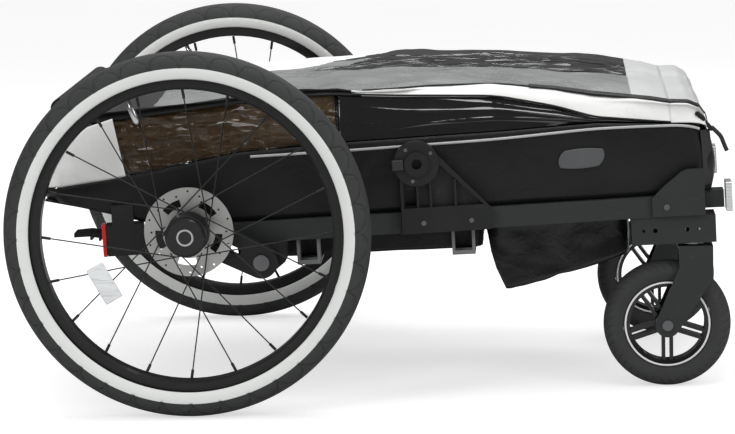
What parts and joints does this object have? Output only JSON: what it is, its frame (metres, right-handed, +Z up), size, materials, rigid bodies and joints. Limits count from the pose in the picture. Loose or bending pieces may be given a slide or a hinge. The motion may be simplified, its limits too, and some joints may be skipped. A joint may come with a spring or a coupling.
{
  "type": "child bicycle trailer",
  "caption": "Folded two-seat child bicycle trailer on spoked rear wheels with disc rotors and swivelling front castors, with a folding upper frame under a white and black cover.",
  "frame": {"origin": "middle of the footprint on the ground, under the middle of the overall box", "axes": "+X to the front (castors), +Y to the left, +Z up"},
  "size_m": [0.995, 0.816, 0.5],
  "materials": {
    "tyre_rubber": "matte moulded",
    "rim_black": "satin black",
    "spoke_black": "satin black",
    "hub_black": "satin black",
    "bearing_steel": "ground",
    "axle_silver": "satin",
    "button_black": "gloss",
    "rotor_steel": "brushed",
    "arm_plastic": "fine texture",
    "frame_grey": "powder coat",
    "black_plastic": "fine texture",
    "lock_plastic": "fine texture",
    "castor_rubber": "matte moulded",
    "castor_gloss": "gloss",
    "screw_steel": "satin",
    "red_lens": "prismatic lens",
    "hanger_grey": "satin",
    "clear_lens": "prismatic lens",
    "tube_black": "satin black",
    "handle_grip": "smooth",
    "shell_fabric": "coated woven polyester",
    "bag_fabric": "coated polyester",
    "seat_fabric": "padded polyester",
    "clear_film": "clear flexible film",
    "cover_white": "woven polyester",
    "roof_fabric": "coated woven polyester"
  },
  "bodies": {
    "chassis": {"side_beam_left": "frame_grey", "hinge_bracket_left": "black_plastic", "side_beam_right": "frame_grey", "hinge_bracket_right": "black_plastic", "cross_tubes": "frame_grey", "beam_ends": "black_plastic", "rear_reflectors": "red_lens", "arm_brackets": "arm_plastic", "pivot_pins": "screw_steel", "floor_hangers": "hanger_grey", "corner_brackets": "frame_grey", "bearing_cups": "black_plastic", "front_reflectors": "clear_lens", "tow_socket": "frame_grey", "frame_screws": "screw_steel", "tub": "shell_fabric", "footwell_bag": "bag_fabric", "seat_cushion": "seat_fabric", "side_windows": "clear_film", "rear_cover": "cover_white"},
    "rear_hoop": {"rear_hoop": "tube_black", "backrest": "seat_fabric"},
    "push_handle": {"push_handle": "handle_grip"},
    "front_frame": {"front_frame": "tube_black", "front_cover": "cover_white"},
    "roof": {"roof_frame": "tube_black", "roof_cover": "roof_fabric"},
    "brake_pedal": {"brake_pedal": "black_plastic"},
    "swing_arm_left": {"swing_arm_left": "arm_plastic", "axle_pin_left": "axle_silver"},
    "wheel_left": {"tyre_left": "tyre_rubber", "rim_left": "rim_black", "spokes_left": "spoke_black", "hub_left": "hub_black", "hub_bearings_left": "bearing_steel", "brake_rotor_left": "rotor_steel"},
    "release_button_left": {"release_button_left": "button_black"},
    "brake_pin_left": {"brake_pin_left": "bearing_steel"},
    "fold_lock_left": {"fold_lock_left": "lock_plastic"},
    "castor_fork_left": {"castor_fork_left": "frame_grey", "castor_pins_left": "screw_steel"},
    "castor_wheel_left": {"castor_tyre_left": "castor_rubber", "castor_wheel_left": "castor_gloss", "castor_bearings_left": "bearing_steel"},
    "swing_arm_right": {"swing_arm_right": "arm_plastic", "axle_pin_right": "axle_silver"},
    "wheel_right": {"tyre_right": "tyre_rubber", "rim_right": "rim_black", "spokes_right": "spoke_black", "hub_right": "hub_black", "hub_bearings_right": "bearing_steel", "brake_rotor_right": "rotor_steel"},
    "release_button_right": {"release_button_right": "button_black"},
    "brake_pin_right": {"brake_pin_right": "bearing_steel"},
    "fold_lock_right": {"fold_lock_right": "lock_plastic"},
    "castor_fork_right": {"castor_fork_right": "frame_grey", "castor_pins_right": "screw_steel"},
    "castor_wheel_right": {"castor_tyre_right": "castor_rubber", "castor_wheel_right": "castor_gloss", "castor_bearings_right": "bearing_steel"}
  },
  "joints": [
    {"name": "unfold", "type": "hinge", "parent": "chassis", "child": "rear_hoop", "pos_m": [0.06103, 0, 0.32801], "axis": [0, 1, 0], "range_deg": [0, 57]},
    {"name": "front_frame_lift", "type": "hinge", "parent": "chassis", "child": "front_frame", "pos_m": [0.44223, 0, 0.3749], "axis": [0, 1, 0], "range_deg": [0, 59.2]},
    {"name": "roof_level", "type": "hinge", "parent": "front_frame", "child": "roof", "pos_m": [-0.0475, 0, 0.41198], "axis": [0, 1, 0], "range_deg": [-67.6, 0]},
    {"name": "handle_extend", "type": "slide", "parent": "rear_hoop", "child": "push_handle", "axis": [-0.9879, 0, 0.1551], "range_m": [0, 0.15]},
    {"name": "foot_brake", "type": "hinge", "parent": "chassis", "child": "brake_pedal", "pos_m": [-0.3555, 0, 0.224], "axis": [0, 1, 0], "range_deg": [-18, 0]},
    {"name": "suspension_left", "type": "hinge", "parent": "chassis", "child": "swing_arm_left", "pos_m": [-0.1515, 0, 0.203], "axis": [0, 1, 0], "range_deg": [0, 8], "stiffness_Nm_per_rad": 80, "springref_deg": -17.19},
    {"name": "wheel_spin_left", "type": "hinge", "parent": "swing_arm_left", "child": "wheel_left", "pos_m": [-0.2475, 0.3807, 0.25], "axis": [0, 1, 0], "continuous": true},
    {"name": "release_button_left_press", "type": "slide", "parent": "swing_arm_left", "child": "release_button_left", "axis": [0, -1, 0], "range_m": [0, 0.002], "stiffness_N_per_m": 900, "springref_m": -0.002},
    {"name": "brake_pin_left_out", "type": "slide", "parent": "swing_arm_left", "child": "brake_pin_left", "axis": [0, 1, 0], "range_m": [0, 0.0063]},
    {"name": "fold_lock_left_pull", "type": "slide", "parent": "chassis", "child": "fold_lock_left", "axis": [-0.9948, 0.0973, -0.0318], "range_m": [0, 0.005], "stiffness_N_per_m": 900, "springref_m": -0.003},
    {"name": "castor_swivel_left", "type": "hinge", "parent": "chassis", "child": "castor_fork_left", "pos_m": [0.4415, 0.208, 0.19], "axis": [0, 0, 1], "continuous": true},
    {"name": "castor_spin_left", "type": "hinge", "parent": "castor_fork_left", "child": "castor_wheel_left", "pos_m": [0.4045, 0.208, 0.0885], "axis": [0, 1, 0], "continuous": true},
    {"name": "suspension_right", "type": "hinge", "parent": "chassis", "child": "swing_arm_right", "pos_m": [-0.1515, 0, 0.203], "axis": [0, 1, 0], "range_deg": [0, 8], "stiffness_Nm_per_rad": 80, "springref_deg": -17.19},
    {"name": "wheel_spin_right", "type": "hinge", "parent": "swing_arm_right", "child": "wheel_right", "pos_m": [-0.2475, -0.3807, 0.25], "axis": [0, 1, 0], "continuous": true},
    {"name": "release_button_right_press", "type": "slide", "parent": "swing_arm_right", "child": "release_button_right", "axis": [0, 1, 0], "range_m": [0, 0.002], "stiffness_N_per_m": 900, "springref_m": -0.002},
    {"name": "brake_pin_right_out", "type": "slide", "parent": "swing_arm_right", "child": "brake_pin_right", "axis": [0, -1, 0], "range_m": [0, 0.0063]},
    {"name": "fold_lock_right_pull", "type": "slide", "parent": "chassis", "child": "fold_lock_right", "axis": [-0.9948, -0.0973, -0.0318], "range_m": [0, 0.005], "stiffness_N_per_m": 900, "springref_m": -0.003},
    {"name": "castor_swivel_right", "type": "hinge", "parent": "chassis", "child": "castor_fork_right", "pos_m": [0.4415, -0.208, 0.19], "axis": [0, 0, 1], "continuous": true},
    {"name": "castor_spin_right", "type": "hinge", "parent": "castor_fork_right", "child": "castor_wheel_right", "pos_m": [0.4045, -0.208, 0.0885], "axis": [0, 1, 0], "continuous": true}
  ],
  "couplings": [
    {"joint": "front_frame_lift", "follows": "unfold", "ratio": 1.036},
    {"joint": "roof_level", "follows": "unfold", "ratio": -1.1825},
    {"joint": "brake_pin_left_out", "follows": "foot_brake", "m_per_rad": -0.01905},
    {"joint": "brake_pin_right_out", "follows": "foot_brake", "m_per_rad": -0.01905}
  ]
}
